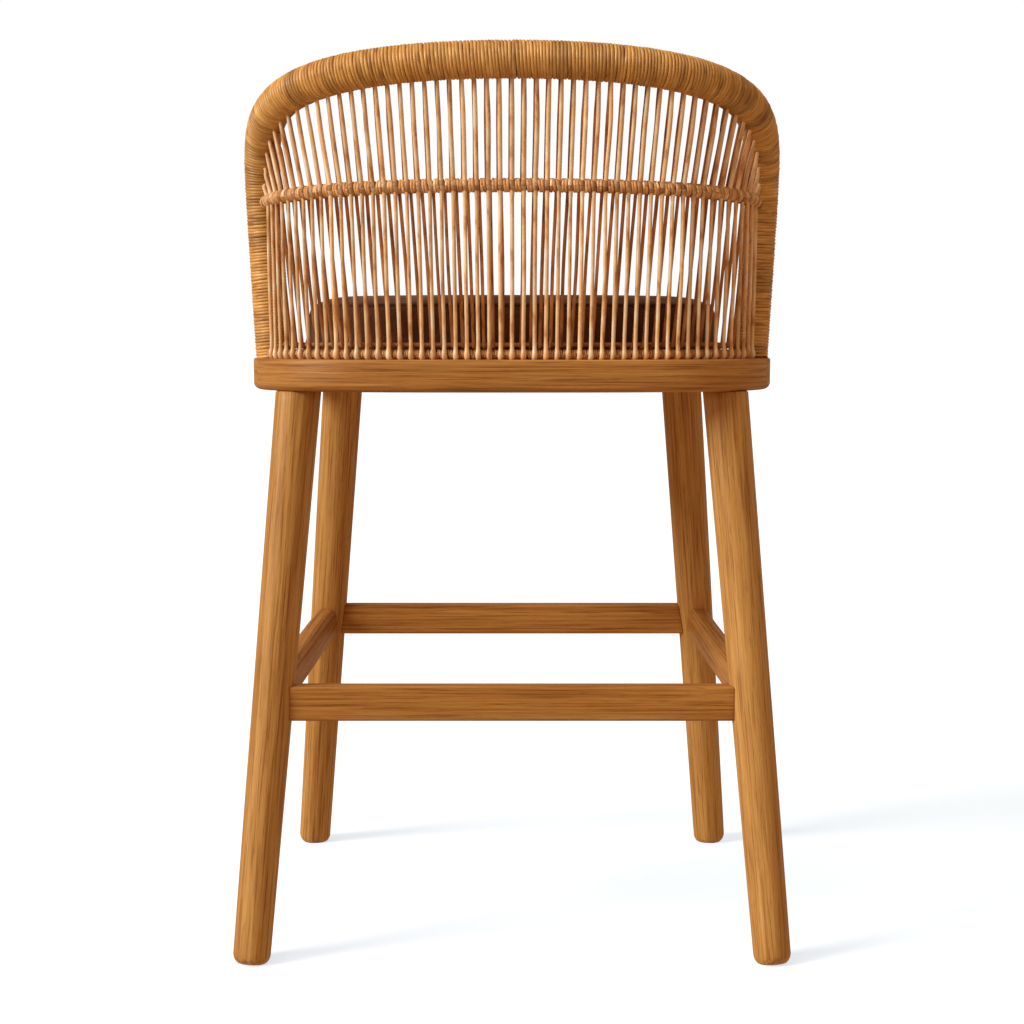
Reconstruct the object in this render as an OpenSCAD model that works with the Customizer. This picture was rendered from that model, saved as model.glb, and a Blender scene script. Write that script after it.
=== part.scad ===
// Counter-height bar stool with a round-cornered wooden seat frame, four
// splayed round legs, a ring of stretchers with a footrest, and a barrel
// back woven from rattan on a bent hoop.
// Front faces -Y, the woven back stands at +Y, and the sitter's left is +X.

/* [Seat frame] */
// Width of the seat frame, side to side
seat_w = 560; // [550:2:570]
// Depth of the seat frame, front to back
seat_d = 452; // [446:2:460]
// Squareness of the seat outline, where 2 is an ellipse
seat_square = 3.2; // [3.0:0.1:3.6]
// Height of the underside of the seat frame
frame_base = 580; // [560:5:640]
// Thickness of the seat frame
frame_h = 33; // [30:1:38]
// Width of the wood in the seat frame
frame_w = 42; // [38:1:44]
// Rounding of the seat frame's lower edge
frame_round = 7; // [3:1:9]

/* [Legs] */
// Radius of a leg at the foot
foot_r = 19; // [17:0.5:20]
// Radius of a leg where it meets the seat frame
leg_top_r = 23.4; // [21:0.2:24]
// Rounding around the bottom of a foot
foot_round = 12; // [4:1:13]
// Side distance of a rear foot from the middle
rear_foot_x = 266; // [255:1:275]
// Side distance of a rear leg's top from the middle
rear_top_x = 221; // [214:1:222]
// Side distance of a front foot from the middle
front_foot_x = 250; // [240:1:262]
// Side distance of a front leg's top from the middle
front_top_x = 202; // [196:1:214]
// Front or rear distance of a foot from the middle
foot_y = 236; // [225:1:240]
// Front or rear distance of a leg's top from the middle
leg_top_y = 152; // [146:1:154]
// Radius of the round tenon on top of a leg
leg_tenon_r = 11; // [9:0.5:12]

/* [Stretchers] */
// Height of the footrest's centre
footrest_z = 290; // [270:1:320]
// Height of the rear stretcher's centre
rear_stretcher_z = 262; // [240:1:300]
// Height of a stretcher's section
stretcher_h = 36; // [32:1:40]
// Thickness of a stretcher's section
stretcher_t = 22; // [18:1:26]
// Thickness of a side stretcher, which is rounder than the others
side_stretcher_t = 26; // [22:1:28]

/* [Barrel back] */
// Height of the hoop's centre line at the middle of the back
hoop_top_z = 905.7; // [880:0.1:930]
// Radius of the hoop with its rattan winding
hoop_r = 19; // [17:0.5:20]
// Radius of the bent rattan pole inside the hoop
hoop_core_r = 15.5; // [12:0.5:16]
// Half width of the hoop's feet on the seat frame
hoop_half_w = 259.9; // [255:0.1:262]
// Rear distance of the back's surface at seat height
hoop_depth = 207; // [203:0.5:208]
// How far the back leans rearward for each millimetre of height
hoop_recline = 0.094; // [0.06:0.002:0.095]
// How far the back flares sideways for each millimetre of height
hoop_flare = 0.049; // [0:0.001:0.06]
// Angle round the seat from its rear middle to a foot of the hoop
hoop_end_angle = 70; // [70:1:76]
// Roundness of the hoop's shoulders along its length
hoop_run_power = 2.08; // [2:0.01:2.4]
// Roundness of the hoop's shoulders down its height
hoop_rise_power = 6.62; // [4.6:0.01:7]
// Height of the middle rail at the middle of the back
mid_rail_z = 785; // [760:1:800]
// How far the middle rail drops at its ends
mid_rail_drop = 11.3; // [0:0.1:20]

/* [Rattan] */
// Diameter of a rattan strand
strand_d = 3.8; // [3:0.1:4.4]
// Number of strand pairs on each side of the middle one
side_strands = 25; // [20:1:25]
// Distance between strands along the bottom rail
pitch_bottom = 10.75; // [9:0.05:10.8]
// Distance between strands along the middle rail
pitch_middle = 10.65; // [9:0.05:10.8]
// Distance between the middle strands along the hoop
pitch_top = 12.3; // [10:0.1:12.4]
// How much wider the pitch along the hoop is at the last strand
top_spread = 1.9; // [0:0.1:2]
// Radius of the middle rail with its winding
mid_rail_r = 7; // [6:0.1:7.4]
// Radius of the bottom rail with its winding
bottom_rail_r = 4.9; // [4.6:0.1:5.6]
// Thickness of the winding on both rails
rail_winding_t = 2; // [1.4:0.1:2.4]
// Radius of the bare inner rod that the inner strands are tied to
inner_rod_r = 2.6; // [2:0.1:3]

/* [Cushion] */
// Thickness of the seat cushion at its crown
cushion_h = 68; // [50:1:72]
// Width of the seat cushion
cushion_w = 470; // [440:2:474]
// Thickness of the plywood seat panel
panel_h = 12; // [9:1:15]

/* [Hidden] */
$fn = 48;

oak = "#c08a45";
cane = "#cf9d5a";
cane_dark = "#b67e3c";
upholstery = "#4a2a17";
steel = "#9a9da1";
plywood = "#c9a876";

half_w = seat_w / 2;
half_d = seat_d / 2;
frame_top = frame_base + frame_h;
leg_tenon_len = 24;
tenon_root = 6;
mortise_depth = 17;
tenon_t = 11;
tenon_h = 25;
side_tenon_r = 9;
outline_steps = 15;
bottom_rail_z = frame_top + bottom_rail_r;
inner_rod_z = frame_top + 14.5;
bottom_rail_shift = 5;
inner_rod_inset = 9;
layer_gap = 4;
rail_end_gap = 0.6;
hoop_sides = 16;
rail_sides = 10;
strand_gap = 0.3;
strand_sink = 0.2;
pair_shift = 1.8;
side_from = 15;
dowel_r = 4;
dowel_len = 26;
dowel_spread = 7;
fit_gap = 0.3;
block_w = 100;
block_len = 170;
block_inner = 52;
block_screw_inset = 50;
block_screw_spread = 48;
panel_screw_inset = 21;
hoop_screw_len = 55;
hoop_screw_r = 3.5;
hoop_screw_depth = 12;
cushion_rear_gap = 34;
cushion_lift = 0.5;
joint_angle = 66;
block_angle = 57;
block_h = frame_h - panel_h;
panel_z = frame_top - panel_h;

// ---------------------------------------------------------------- outlines

// Distance from the middle to a superellipse, t degrees round from the rear
function outline_r(a, b, t) =
    pow(pow(abs(sin(t)) / a, seat_square) + pow(abs(cos(t)) / b, seat_square),
        -1 / seat_square);

// Point on a superellipse, t degrees round from the rear towards the left
function outline(a, b, t) = outline_r(a, b, t) * [sin(t), cos(t)];

// Whole outline as a closed list of points
function outline_ring(a, b, step = 5) = [for (t = [0:step:359]) outline(a, b, t)];

// Half width and half depth of the back's curved surface at height z
function back_a(z) = hoop_half_w + hoop_flare * (z - frame_top);
function back_b(z) = hoop_depth + hoop_recline * (z - frame_top);

// Running length round the back's surface at seat height, in one-degree steps
function run_lengths(a, b, last) = [
    for (t = 0, s = 0; t <= last;
         s = s + norm(outline(a, b, t + 1) - outline(a, b, t)), t = t + 1) [s, t]];

back_runs = run_lengths(hoop_half_w, hoop_depth, 90);
hoop_run = lookup(hoop_end_angle, [for (p = back_runs) [p[1], p[0]]]);

// Angle round the back at a signed running length s
function run_angle(s) = sign(s) * lookup(abs(s), back_runs);

// Point of the back's surface at running length s and height z, pushed out by d
function back_point(s, z, d = 0) =
    let (p = outline(back_a(z) + d, back_b(z) + d, run_angle(s))) [p[0], p[1], z];

// ------------------------------------------------------------------- hoop

// Half of the hoop as [run, rise] fractions, from the top to the foot
hoop_turn = 0.5;
top_share = pow(hoop_turn, 1 / hoop_run_power);
rise_share = pow(1 - hoop_turn, 1 / hoop_rise_power);
hoop_half = concat(
    [for (i = [0:16]) let (u = top_share * i / 16)
        [u, pow(1 - pow(u, hoop_run_power), 1 / hoop_rise_power)]],
    [for (i = [1:19]) let (v = rise_share * (1 - i / 19))
        [pow(1 - pow(v, hoop_rise_power), 1 / hoop_run_power), v]]);

// Point of the hoop's centre line from a [run, rise] pair
function hoop_point(p, side) =
    back_point(side * p[0] * hoop_run, frame_top + p[1] * (hoop_top_z - frame_top));

hoop_left = [for (p = hoop_half) hoop_point(p, 1)];
hoop_path = concat(
    [for (i = [len(hoop_half) - 1:-1:1]) hoop_point(hoop_half[i], -1)], hoop_left);

// Last point of the path, and the point where one run of the winding ends
hoop_last = len(hoop_path) - 1;
winding_joint = 19;

// Running length along the hoop from its top, with the index of each point
hoop_lengths = [
    for (i = 0, s = 0; i < len(hoop_left);
         s = s + (i + 1 < len(hoop_left) ? norm(hoop_left[i + 1] - hoop_left[i]) : 0),
         i = i + 1) [s, i]];

// Point of the hoop's centre line at a signed length s from its top
function hoop_at(s) =
    let (f = lookup(abs(s), hoop_lengths),
         i = min(floor(f), len(hoop_left) - 2),
         p = hoop_left[i] + (f - i) * (hoop_left[i + 1] - hoop_left[i]))
    [sign(s) * p[0], p[1], p[2]];

// ------------------------------------------------------------- swept solids

function unit(v) = v / norm(v);

// Direction of a path at point i
function heading(path, i) =
    unit(path[min(i + 1, len(path) - 1)] - path[max(i - 1, 0)]);

// Circle of radius r round point p, square to direction d, started from side n
function ring_at(p, d, n, r, sides) =
    let (v = unit(cross(d, n)), u = cross(v, d))
    [for (k = [0:sides - 1]) let (a = 360 * k / sides) p + r * (cos(a) * u + sin(a) * v)];

// Closed solid skinned over a list of equal rings, capped at both ends
module skin(rings) {
    m = len(rings[0]);
    last = len(rings) - 1;
    polyhedron(
        points = [for (ring = rings) each ring],
        faces = concat(
            [[for (k = [0:m - 1]) k]],
            [for (i = [0:last - 1]) for (k = [0:m - 1])
                [i * m + k, (i + 1) * m + k, (i + 1) * m + (k + 1) % m, i * m + (k + 1) % m]],
            [[for (k = [m - 1:-1:0]) last * m + k]]),
        convexity = 8);
}

// Ring of radius r round point i of a path, which never runs straight outward
function path_ring(path, i, r, sides) =
    ring_at(path[i], heading(path, i), [path[i][0], path[i][1], 0], r, sides);

// Round rod along a path
module rod(path, r, sides) {
    skin([for (i = [0:len(path) - 1]) path_ring(path, i, r, sides)]);
}

// Round sleeve along points first to last of a path, with a bore right through
module sleeve(path, r, bore, sides, first, last) {
    m = 2 * sides;
    end = (last - first) * m;
    polyhedron(
        points = [for (i = [first:last])
            each concat(path_ring(path, i, r, sides), path_ring(path, i, bore, sides))],
        faces = [for (k = [0:sides - 1]) let (n = (k + 1) % sides)
            each concat(
                [[k, n, sides + n, sides + k],
                 [end + n, end + k, end + sides + k, end + sides + n]],
                [for (i = [0:m:end - m]) each [
                    [i + k, i + m + k, i + m + n, i + n],
                    [i + sides + k, i + sides + n, i + m + sides + n, i + m + sides + k]]])],
        convexity = 8);
}

// Straight round bar between two points, shortened by c0 and c1 at its ends
module bar(p0, p1, r, c0 = 0, c1 = 0, sides = 16) {
    v = p1 - p0;
    d = unit(v);
    translate(p0 + c0 * d)
        rotate([0, acos(d[2]), atan2(d[1], d[0])])
            cylinder(h = norm(v) - c0 - c1, r = r, $fn = sides);
}

// ------------------------------------------------------------------- legs

function foot_at(sx, sy) = [sx * (sy > 0 ? rear_foot_x : front_foot_x), sy * foot_y, 0];
function leg_top_at(sx, sy) =
    [sx * (sy > 0 ? rear_top_x : front_top_x), sy * leg_top_y, frame_base];
// Point of a leg's axis at height z
function leg_at(sx, sy, z) =
    foot_at(sx, sy) + (z / frame_base) * (leg_top_at(sx, sy) - foot_at(sx, sy));

// Places its children with +Z along a leg's axis and the foot at the origin
module along_leg(sx, sy) {
    d = unit(leg_top_at(sx, sy) - foot_at(sx, sy));
    translate(foot_at(sx, sy))
        rotate([0, acos(d[2]), atan2(d[1], d[0])])
            children();
}

leg_len = norm(leg_top_at(1, 1) - foot_at(1, 1));
foot_sink = 2.5;
grain_turn = 37;

// Turned leg before its mortises are cut, flat on the floor and under the seat
module leg_blank(sx, sy) {
    spread = (leg_top_r - foot_r) / leg_len;
    intersection() {
        along_leg(sx, sy)
            rotate([0, 0, grain_turn])
                rotate_extrude($fn = 64)
                    polygon(concat(
                        [[0, -foot_sink]],
                        [for (a = [0:15:90]) [
                            foot_r - foot_round + foot_round * sin(a),
                            foot_round - foot_sink - foot_round * cos(a)]],
                        [[leg_top_r + 12 * spread, leg_len + 12], [0, leg_len + 12]]));
        translate([-400, -400, 0])
            cube([800, 800, frame_base]);
    }
}

// Upright round tenon that rises from a leg into the seat frame
module leg_tenon(sx, sy) {
    translate(leg_top_at(sx, sy) - [0, 0, tenon_root])
        cylinder(h = leg_tenon_len + tenon_root, r = leg_tenon_r);
}

module leg(sx, sy) {
    color(oak) {
        difference() {
            leg_blank(sx, sy);
            cross_stretcher_tenons(sy);
            side_stretcher_tenons(sx);
        }
        leg_tenon(sx, sy);
    }
}

// --------------------------------------------------------------- stretchers

// Bar along X with rounded long edges, centred on the origin
module rounded_bar(length, t, h, r) {
    rotate([90, 0, 90])
        linear_extrude(length, center = true)
            union() {
                square([t - 2 * r, h], center = true);
                square([t, h - 2 * r], center = true);
                for (sy = [-1, 1])
                    for (sz = [-1, 1])
                        translate([sy * (t / 2 - r), sz * (h / 2 - r)])
                            circle(r, $fn = 32);
            }
}

function cross_z(sy) = sy > 0 ? rear_stretcher_z : footrest_z;
function cross_leg(sy) = leg_at(1, sy, cross_z(sy));

// Tenons at both ends of the rear stretcher or the footrest
module cross_stretcher_tenons(sy) {
    p = cross_leg(sy);
    translate([0, p[1], p[2]])
        cube([2 * (p[0] - mortise_depth / 2 + 10), tenon_t, tenon_h], center = true);
}

module cross_stretcher(sy) {
    p = cross_leg(sy);
    color(oak) {
        difference() {
            translate([0, p[1], p[2]])
                rounded_bar(2 * p[0], stretcher_t, stretcher_h, 3);
            for (sx = [-1, 1])
                leg_blank(sx, sy);
        }
        intersection() {
            cross_stretcher_tenons(sy);
            for (sx = [-1, 1])
                leg_blank(sx, sy);
        }
    }
}

side_front_z = footrest_z - 2;
side_rear_z = rear_stretcher_z + 5;

// Places its children with +X running from the front leg to the rear leg
module along_side(sx) {
    p = leg_at(sx, -1, side_front_z);
    q = leg_at(sx, 1, side_rear_z);
    v = q - p;
    translate((p + q) / 2)
        rotate([0, -asin(v[2] / norm(v)), atan2(v[1], v[0])])
            children();
}

side_len = norm(leg_at(1, 1, side_rear_z) - leg_at(1, -1, side_front_z));

module side_stretcher_tenons(sx) {
    along_side(sx)
        rotate([0, 90, 0])
            cylinder(h = side_len - 16, r = side_tenon_r, center = true);
}

module side_stretcher(sx) {
    color(oak) {
        difference() {
            along_side(sx)
                rounded_bar(side_len, side_stretcher_t, stretcher_h, 9);
            for (sy = [-1, 1])
                leg_blank(sx, sy);
        }
        difference() {
            intersection() {
                side_stretcher_tenons(sx);
                for (sy = [-1, 1])
                    leg_blank(sx, sy);
            }
            for (sy = [-1, 1])
                cross_stretcher_tenons(sy);
        }
    }
}

// --------------------------------------------------------------- seat frame

// Section of the seat frame as [inset, height], from the lower inner edge round
frame_section = concat(
    [[frame_w, frame_base]],
    [for (a = [0:30:90]) [
        frame_round - frame_round * sin(a), frame_base + frame_round - frame_round * cos(a)]],
    [[0, frame_top - 2], [2, frame_top], [frame_w, frame_top]]);

// Length of the seat frame from angle t0 to t1
module frame_arc(t0, t1) {
    skin([for (i = [0:outline_steps]) let (t = t0 + (t1 - t0) * i / outline_steps)
        [for (c = frame_section)
            let (p = outline(half_w - c[0], half_d - c[0], t)) [p[0], p[1], c[1]]]]);
}

// Dowels across one joint of the seat frame, at angle t
module joint_dowels(t) {
    p = outline(half_w - frame_w / 2, half_d - frame_w / 2, t);
    q = outline(half_w - frame_w / 2, half_d - frame_w / 2, t + 1);
    d = unit(q - p);
    for (z = [-dowel_spread, dowel_spread])
        translate([p[0], p[1], frame_base + frame_h / 2 + z])
            rotate([0, 90, atan2(d[1], d[0])])
                cylinder(h = dowel_len, r = dowel_r, center = true, $fn = 24);
}

joint_angles = [joint_angle, 180 - joint_angle, 180 + joint_angle, 360 - joint_angle];

module rail_dowels() {
    color(plywood)
        for (t = joint_angles)
            joint_dowels(t);
}

// Seat frame rail with its dowel holes and the sockets of the leg tenons
module seat_rail(t0, t1) {
    color(oak)
        difference() {
            frame_arc(t0, t1);
            for (t = joint_angles)
                joint_dowels(t);
            for (sx = [-1, 1])
                for (sy = [-1, 1])
                    leg_tenon(sx, sy);
            hoop_screws();
            block_screws();
        }
}

// -------------------------------------------------- corner blocks and panel

// Inner corner of the seat frame, at a side of +1 or -1 in X and Y
function inner_corner(sx, sy) =
    let (p = outline(half_w - frame_w - fit_gap, half_d - frame_w - fit_gap, block_angle))
    [sx * p[0], sy * p[1]];

// Glued block that fills an inner corner of the frame below the panel
module corner_block(sx, sy) {
    c = inner_corner(sx, sy);
    color(plywood)
        difference() {
            intersection() {
                translate([0, 0, frame_base + 1])
                    linear_extrude(block_h - 1)
                        polygon(outline_ring(
                            half_w - frame_w - fit_gap, half_d - frame_w - fit_gap, 3));
                translate([c[0], c[1], frame_base])
                    rotate([0, 0, atan2(sy * half_w, sx * half_d)])
                        translate([-block_inner, -block_len / 2, 0])
                            cube([block_w, block_len, frame_h]);
            }
            block_screws();
            panel_screws();
        }
}

// Countersunk screw with its head at the origin and its point at +Z
module screw(length, r) {
    cylinder(h = length, r = r, $fn = 20);
    cylinder(h = r, r1 = 2 * r, r2 = r, $fn = 20);
}

// Screws that pull each corner block outward against the frame
module block_screws() {
    color(steel)
        for (sx = [-1, 1])
            for (sy = [-1, 1])
                for (k = [-1, 1]) {
                    c = inner_corner(sx, sy);
                    turn = atan2(sy * half_w, sx * half_d);
                    translate([c[0], c[1], frame_base + block_h / 2])
                        rotate([0, 0, turn])
                            translate([-block_screw_inset, k * block_screw_spread, 0])
                                rotate([0, 90, 0])
                                    screw(58, 2.2);
                }
}

module panel_screws() {
    color(steel)
        for (sx = [-1, 1])
            for (sy = [-1, 1]) {
                c = inner_corner(sx, sy);
                translate([
                    c[0] - sx * panel_screw_inset, c[1] - sy * panel_screw_inset, frame_base + 1])
                    screw(block_h + 7, 2);
            }
}

module seat_panel() {
    color(plywood)
        difference() {
            translate([0, 0, panel_z])
                linear_extrude(panel_h)
                    polygon(outline_ring(
                        half_w - frame_w - 2 * fit_gap, half_d - frame_w - 2 * fit_gap, 3));
            panel_screws();
        }
}

// ------------------------------------------------------------------ cushion

// Rounded cushion as [inset, share of its thickness]
cushion_section = [
    [14, 0], [4, 0.06], [0, 0.22], [0, 0.62], [3, 0.76], [10, 0.87], [26, 0.94],
    [60, 0.98], [120, 1]];

module seat_cushion() {
    rear_b = half_d - cushion_rear_gap;
    color(upholstery)
        skin([for (c = cushion_section)
            [for (t = [355:-5:0])
                let (p = outline(cushion_w / 2 - c[0], rear_b - c[0], t))
                [p[0], p[1], frame_top + cushion_lift + c[1] * cushion_h]]]);
}

// --------------------------------------------------------------- woven back

module hoop_core() {
    color(cane_dark)
        difference() {
            rod(hoop_path, hoop_core_r, hoop_sides);
            hoop_screws();
        }
}

// One run of the winding, between two points of the hoop's path
module hoop_winding(first, last) {
    color(cane)
        sleeve(hoop_path, hoop_r, hoop_core_r, hoop_sides, first, last);
}

// Screws that hold the feet of the hoop down on the seat frame
module hoop_screws() {
    color(steel)
        for (side = [-1, 1]) {
            p = back_point(side * hoop_run, frame_top);
            translate([p[0], p[1], frame_base + hoop_screw_depth])
                cylinder(h = hoop_screw_len, r = hoop_screw_r, $fn = 24);
        }
}

// Path of a rail round the back, where sag is the drop at the ends
function rail_path(z, sag, push, reach, steps = 40) = [
    for (i = [-steps / 2:steps / 2]) let (u = 2 * i / steps)
        back_point(u * reach, z - sag * u * u, push)];

// The rails butt against the hoop's winding, where they are lashed
rail_reach = hoop_run - hoop_r - rail_end_gap;
middle_path = rail_path(mid_rail_z, mid_rail_drop, 0, rail_reach);
bottom_path = rail_path(bottom_rail_z, 0, bottom_rail_shift, rail_reach);
inner_path = rail_path(inner_rod_z, 0, -inner_rod_inset, rail_reach);

module middle_rail_cane() {
    color(cane_dark)
        rod(middle_path, mid_rail_r - rail_winding_t, rail_sides);
}

module bottom_rail_cane() {
    color(cane_dark)
        rod(bottom_path, bottom_rail_r - rail_winding_t, rail_sides);
}

module inner_rod() {
    color(cane)
        rod(inner_path, inner_rod_r, rail_sides);
}

// Rattan winding of outer radius r around the cane of a rail
module rail_winding(path, r) {
    color(cane)
        sleeve(path, r, r - rail_winding_t, rail_sides, 0, len(path) - 1);
}

// Ends of strand pair k on the bottom rail, the middle rail and the hoop
function bottom_at(k) = back_point(k * pitch_bottom, bottom_rail_z, bottom_rail_shift + 1);
function middle_at(k, shift, push) =
    let (u = (k * pitch_middle + shift) / hoop_run)
    back_point(u * hoop_run, mid_rail_z - mid_rail_drop * u * u, push);
function top_at(k, shift, push) =
    let (pitch = pitch_top + top_spread * pow(k / side_strands, 4),
         p = hoop_at(k * pitch + shift),
         q = unit([p[0], p[1], 0]))
    p + push * q;

clear_middle = mid_rail_r + strand_gap;
clear_bottom = bottom_rail_r + strand_gap;
clear_rod = inner_rod_r + strand_gap;
into_hoop = hoop_r - strand_sink;

module outer_strand(k) {
    mid = middle_at(k, 0, layer_gap / 2);
    bar(bottom_at(k), mid, strand_d / 2, clear_bottom, clear_middle);
    bar(mid, top_at(k, 0, layer_gap), strand_d / 2, clear_middle, into_hoop);
}

module inner_strand(k) {
    low = back_point(k * pitch_bottom, inner_rod_z, -inner_rod_inset);
    mid = middle_at(k, pair_shift, -layer_gap / 2);
    top = top_at(k, pair_shift, -layer_gap);
    bar(low, mid, strand_d / 2, clear_rod, clear_middle);
    bar(mid, top, strand_d / 2, clear_middle, into_hoop);
}

module outer_strands(first, last) {
    color(cane)
        for (k = [first:last])
            outer_strand(k);
}

module inner_strands(first, last) {
    color(cane_dark)
        for (k = [first:last])
            inner_strand(k);
}

// --------------------------------------------------------------------- nodes

leg(1, 1);  // leg_rear_left
leg(-1, 1);  // leg_rear_right
leg(1, -1);  // leg_front_left
leg(-1, -1);  // leg_front_right
cross_stretcher(1);  // stretcher_rear
cross_stretcher(-1);  // footrest_front
side_stretcher(1);  // stretcher_left
side_stretcher(-1);  // stretcher_right
seat_rail(-joint_angle, joint_angle);  // seat_rail_rear
seat_rail(joint_angle, 180 - joint_angle);  // seat_rail_left
seat_rail(180 - joint_angle, 180 + joint_angle);  // seat_rail_front
seat_rail(180 + joint_angle, 360 - joint_angle);  // seat_rail_right
corner_block(1, 1);  // corner_block_rear_left
corner_block(-1, 1);  // corner_block_rear_right
corner_block(1, -1);  // corner_block_front_left
corner_block(-1, -1);  // corner_block_front_right
rail_dowels();
block_screws();
seat_panel();
panel_screws();
seat_cushion();
hoop_core();
hoop_winding(0, winding_joint);  // hoop_winding_right
hoop_winding(winding_joint, hoop_last - winding_joint);  // hoop_winding_top
hoop_winding(hoop_last - winding_joint, hoop_last);  // hoop_winding_left
hoop_screws();
middle_rail_cane();
rail_winding(middle_path, mid_rail_r);  // middle_rail_winding
bottom_rail_cane();
rail_winding(bottom_path, bottom_rail_r);  // bottom_rail_winding
inner_rod();
outer_strands(side_from, side_strands);  // outer_strands_left
outer_strands(1 - side_from, side_from - 1);  // outer_strands_rear
outer_strands(-side_strands, -side_from);  // outer_strands_right
inner_strands(side_from, side_strands);  // inner_strands_left
inner_strands(1 - side_from, side_from - 1);  // inner_strands_rear
inner_strands(-side_strands, -side_from);  // inner_strands_right
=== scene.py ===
import math
import random

import bpy
import numpy as np
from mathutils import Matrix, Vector
from mathutils.bvhtree import BVHTree


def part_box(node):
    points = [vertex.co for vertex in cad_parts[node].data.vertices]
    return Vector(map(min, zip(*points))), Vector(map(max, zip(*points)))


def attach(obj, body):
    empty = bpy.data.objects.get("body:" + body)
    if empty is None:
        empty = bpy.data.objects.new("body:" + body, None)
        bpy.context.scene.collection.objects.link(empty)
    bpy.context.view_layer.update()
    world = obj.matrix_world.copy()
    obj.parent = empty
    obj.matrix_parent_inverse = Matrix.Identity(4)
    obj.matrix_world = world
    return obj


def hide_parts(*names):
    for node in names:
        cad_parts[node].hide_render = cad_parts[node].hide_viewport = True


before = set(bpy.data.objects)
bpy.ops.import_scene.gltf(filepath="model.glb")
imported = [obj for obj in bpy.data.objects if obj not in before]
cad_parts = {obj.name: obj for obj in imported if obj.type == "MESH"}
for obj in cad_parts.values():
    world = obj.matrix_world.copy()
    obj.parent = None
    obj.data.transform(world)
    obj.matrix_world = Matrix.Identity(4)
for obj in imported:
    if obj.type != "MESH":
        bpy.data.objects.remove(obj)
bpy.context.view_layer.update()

# Bar stool with a woven barrel back. Lengths are in metres, and angles round
# the seat run from its rear middle towards the sitter's left (+X).

# ------------------------------------------------------------------ sizes

# Seat frame
FRAME_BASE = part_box("seat_rail_rear")[0].z
FRAME_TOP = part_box("seat_rail_rear")[1].z
FRAME_HALF_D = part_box("seat_rail_rear")[1].y
FRAME_HALF_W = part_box("seat_rail_left")[1].x
FRAME_W = 0.042
FRAME_ROUND = 0.007
SQUARE = 3.2
JOINT_ANGLE = 66
JOINT_HAIR = 0.008  # degrees from the end of a length of the frame to its joint
JOINT_RELIEF = 0.0004
TOP_EDGE = 0.0022

# Legs, as the place of a foot and of a leg's top; 1 is rear and -1 is front
FOOT = {1: (0.266, 0.236), -1: (0.250, -0.236)}
LEG_TOP = {1: (0.221, 0.152), -1: (0.202, -0.152)}
FOOT_R = 0.019
LEG_TOP_R = 0.0234
FOOT_ROUND = 0.012
FOOT_SINK = 0.0025
FOOT_BLEND = 0.2  # height at which the rings of a leg have become level
FOOT_ROWS = 9
LEG_ROWS = 60
LEG_SIDES = 48
LEG_TOP_GAP = 0.0002
LEG_TOP_RELIEF = 0.0009

# Stretchers
STRETCHER_H = 0.036
STRETCHER_T = 0.022
SIDE_STRETCHER_T = 0.026
STRETCHER_ROUND = 0.0032
SIDE_STRETCHER_ROUND = 0.0095
STRETCHER_ROWS = 30
STRETCHER_RELIEF = 0.0011
REAR_STRETCHER_Z = 0.262
FOOTREST_Z = 0.290
SIDE_FRONT_Z = FOOTREST_Z - 0.002
SIDE_REAR_Z = REAR_STRETCHER_Z + 0.005

# Barrel back
HOOP_R = 0.019
HOOP_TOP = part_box("hoop_winding_top")[1].z - HOOP_R
HOOP_HALF_W = 0.2599
HOOP_DEPTH = 0.207
RECLINE = 0.094
FLARE = 0.049
END_ANGLE = 70
RUN_POWER = 2.08
RISE_POWER = 6.62
MIDDLE_Z = 0.785
MIDDLE_DROP = 0.0113
MIDDLE_R = 0.0070
BOTTOM_R = 0.0049
WINDING_T = 0.002
BOTTOM_Z = FRAME_TOP + BOTTOM_R
BOTTOM_PUSH = 0.005
ROD_Z = FRAME_TOP + 0.0145
ROD_PUSH = -0.009
ROD_R = 0.0026

# Winding of the hoop, as the half width and half thickness of its cane
HOOP_PITCH = 0.0033
HOOP_CANE_W = 0.00182
HOOP_CANE_T = 0.0015

# Windings of the rails: one fat loop at a strand, and thin turns between
LOOP_T = 0.0017
LOOP_SINK = 0.0012
TURN_T = 0.0012
TURN_SINK = 0.0010

# Rattan
STRAND_R = 0.0019
SIDE_STRANDS = 25
PITCH_BOTTOM = 0.01075
PITCH_MIDDLE = 0.01065
PITCH_TOP = 0.0123
TOP_SPREAD = 0.0019
PAIR_SHIFT = 0.0018
SIDE_FROM = 15  # the strand at which the side groups begin

# How far a strand's axis lies outside or inside the axes of the rails and hoop
OUTER_AT_RAIL = 0.0028
OUTER_AT_HOOP = 0.0008
INNER_AT_RAIL = 0.0022
INNER_AT_HOOP = 0.0034
INNER_LEAN = 0.0036
STEP_RISE = 0.0035
LOOP_SWELL = 0.42

# Cushion
CUSHION_LOW, CUSHION_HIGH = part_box("seat_cushion")
CUSHION_GAP = 0.007
CROWN_ROOM = 0.010
SWELL_CAP = 0.006
PIPING_R = 0.0024
REMESH_SIZE = 0.0058
SETTLE_FRAMES = 20

# Light and view
AMBIENT = (0.42, 0.28, 0.18)
KEY_POWER = 2.25
KEY_SPREAD = 24
KEY_FROM = (0.85, 0.40, 0.45)
FLOOR_HALF = 30
EYE_Z = 0.6395
EYE_DISTANCE = 2.1231
LOOK_DOWN = 5.382
SENSOR = 36
LENS = 66.797

UP = np.array([0, 0, 1.0])

rng = random.Random(7)


# ----------------------------------------------------------------- curves

def outline(a, b, t):
    """Points of a superellipse, half width a and half depth b, at angles t in radians."""
    s, c = np.sin(t), np.cos(t)
    r = (np.abs(s / a) ** SQUARE + np.abs(c / b) ** SQUARE) ** (-1 / SQUARE)
    return r * s, r * c


def running_lengths(points):
    """Length along a line of points, from its first point to each of them."""
    steps = np.linalg.norm(np.diff(points, axis=0), axis=1)
    return np.concatenate([[0.0], np.cumsum(steps)])


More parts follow.
